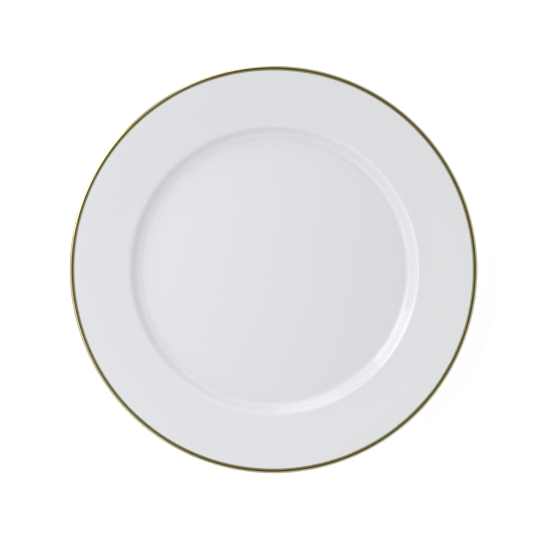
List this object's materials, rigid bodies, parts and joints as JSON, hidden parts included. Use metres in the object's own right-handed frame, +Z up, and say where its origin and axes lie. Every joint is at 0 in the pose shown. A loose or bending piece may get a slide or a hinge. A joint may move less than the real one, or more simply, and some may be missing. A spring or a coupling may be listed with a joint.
{
  "type": "dinner plate",
  "caption": "Round china dinner plate with a flat well, a wide rising rim, a gilded lip and a foot ring.",
  "frame": {"origin": "centre of the plane that the foot ring stands on", "axes": "+Z up along the plate's axis of revolution, from the foot ring towards the well; +X and +Y any two square directions, since the plate is round"},
  "size_m": [0.267, 0.267, 0.023],
  "materials": {
    "bisque_porcelain": "unglazed fired porcelain, smooth and matt",
    "clear_glaze": "white under a clear feldspathic glaze, glossy",
    "gilding": "fired-on bright gold, polished, thin film"
  },
  "bodies": {
    "root": {"porcelain_body": "bisque_porcelain", "glaze_coat": "clear_glaze", "base_recess_glaze": "clear_glaze", "gold_rim_band": "gilding"}
  },
  "joints": []
}
